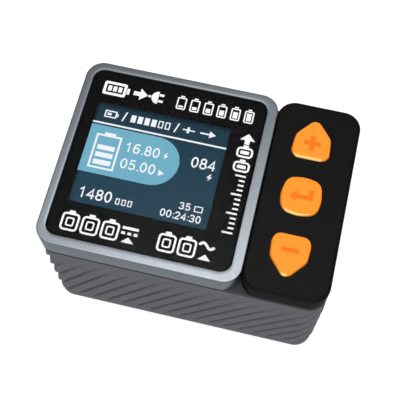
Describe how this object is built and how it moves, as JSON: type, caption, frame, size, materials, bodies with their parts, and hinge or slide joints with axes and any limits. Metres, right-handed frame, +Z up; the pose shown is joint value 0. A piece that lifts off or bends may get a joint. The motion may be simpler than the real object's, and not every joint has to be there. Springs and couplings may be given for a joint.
{
  "type": "balance battery charger",
  "caption": "Compact bench charger for multi-cell batteries: ribbed case, colour display in a raised frame, raised keys on a side panel, power sockets and a fan.",
  "frame": {"origin": "centre of the footprint, on the plane that the rubber feet stand on", "axes": "+Z up, +X from the display towards the keys, -Y towards the user"},
  "size_m": [0.0844, 0.0604, 0.0543],
  "materials": {
    "case_plastic": "fine moulded texture, satin",
    "bezel_plastic": "smooth satin",
    "panel_plastic": "smooth satin",
    "window_glass": "polished, dark",
    "key_plastic": "smooth semi-gloss",
    "foot_rubber": "matte",
    "screw_steel": "bright",
    "contact_gold": "gold plated, polished",
    "tinned_metal": "tinned, semi-bright",
    "circuit_board": "solder resist, satin",
    "yellow_plastic": "satin",
    "white_plastic": "satin",
    "black_plastic": "satin",
    "ferrite": "sintered, matte",
    "winding_tape": "varnished",
    "heatsink_aluminium": "extruded",
    "insulation_film": "film, matte"
  },
  "bodies": {
    "charger": {"main_case": "case_plastic", "base_cover": "case_plastic", "display_bezel": "bezel_plastic", "keypad_cover": "panel_plastic", "display_window": "window_glass", "foot_front_left": "foot_rubber", "foot_front_right": "foot_rubber", "foot_rear_left": "foot_rubber", "foot_rear_right": "foot_rubber", "case_screw_front_left": "screw_steel", "case_screw_front_right": "screw_steel", "case_screw_rear_left": "screw_steel", "case_screw_rear_right": "screw_steel", "bezel_screw_front": "screw_steel", "bezel_screw_rear": "screw_steel", "keypad_screw_front": "screw_steel", "keypad_screw_rear": "screw_steel", "charger_board_screw_left": "screw_steel", "charger_board_screw_right": "screw_steel", "psu_board_screw_left": "screw_steel", "psu_board_screw_right": "screw_steel", "dc_pin_pos": "contact_gold", "dc_pin_neg": "contact_gold", "output_sleeve_pos": "contact_gold", "output_sleeve_neg": "contact_gold", "display_module": "tinned_metal", "ac_pin_front": "tinned_metal", "ac_pin_rear": "tinned_metal", "balance_pin_header": "tinned_metal", "usb_c_port": "tinned_metal", "display_board": "circuit_board", "key_board": "circuit_board", "psu_board": "circuit_board", "charger_board": "circuit_board", "dc_input_socket": "yellow_plastic", "output_socket": "yellow_plastic", "balance_socket": "white_plastic", "up_switch": "black_plastic", "enter_switch": "black_plastic", "down_switch": "black_plastic", "bulk_capacitor": "black_plastic", "buzzer": "black_plastic", "fan_frame": "black_plastic", "ac_inlet": "black_plastic", "transformer_core": "ferrite", "power_inductor_left": "ferrite", "power_inductor_right": "ferrite", "transformer_bobbin": "winding_tape", "mains_choke": "winding_tape", "charger_heatsink": "heatsink_aluminium", "insulation_sheet": "insulation_film", "display_cable": "insulation_film"},
    "up_key": {"up_button": "key_plastic"},
    "enter_key": {"enter_button": "key_plastic"},
    "down_key": {"down_button": "key_plastic"},
    "up_switch_stem": {"up_plunger": "white_plastic"},
    "enter_switch_stem": {"enter_plunger": "white_plastic"},
    "down_switch_stem": {"down_plunger": "white_plastic"},
    "fan_wheel": {"fan_rotor": "black_plastic"}
  },
  "joints": [
    {"name": "up_press", "type": "slide", "parent": "charger", "child": "up_key", "axis": [0, 0, -1], "range_m": [0, 0.0005], "stiffness_N_per_m": 2000, "springref_m": -0.0003},
    {"name": "enter_press", "type": "slide", "parent": "charger", "child": "enter_key", "axis": [0, 0, -1], "range_m": [0, 0.0005], "stiffness_N_per_m": 2000, "springref_m": -0.0003},
    {"name": "down_press", "type": "slide", "parent": "charger", "child": "down_key", "axis": [0, 0, -1], "range_m": [0, 0.0005], "stiffness_N_per_m": 2000, "springref_m": -0.0003},
    {"name": "up_switch_travel", "type": "slide", "parent": "charger", "child": "up_switch_stem", "axis": [0, 0, -1], "range_m": [0, 0.00056]},
    {"name": "enter_switch_travel", "type": "slide", "parent": "charger", "child": "enter_switch_stem", "axis": [0, 0, -1], "range_m": [0, 0.00056]},
    {"name": "down_switch_travel", "type": "slide", "parent": "charger", "child": "down_switch_stem", "axis": [0, 0, -1], "range_m": [0, 0.00056]},
    {"name": "fan_spin", "type": "hinge", "parent": "charger", "child": "fan_wheel", "pos_m": [0, 0.0236, 0.0205], "axis": [0, 1, 0], "continuous": true}
  ],
  "couplings": [
    {"joint": "up_switch_travel", "follows": "up_press", "ratio": 1},
    {"joint": "enter_switch_travel", "follows": "enter_press", "ratio": 1},
    {"joint": "down_switch_travel", "follows": "down_press", "ratio": 1}
  ]
}
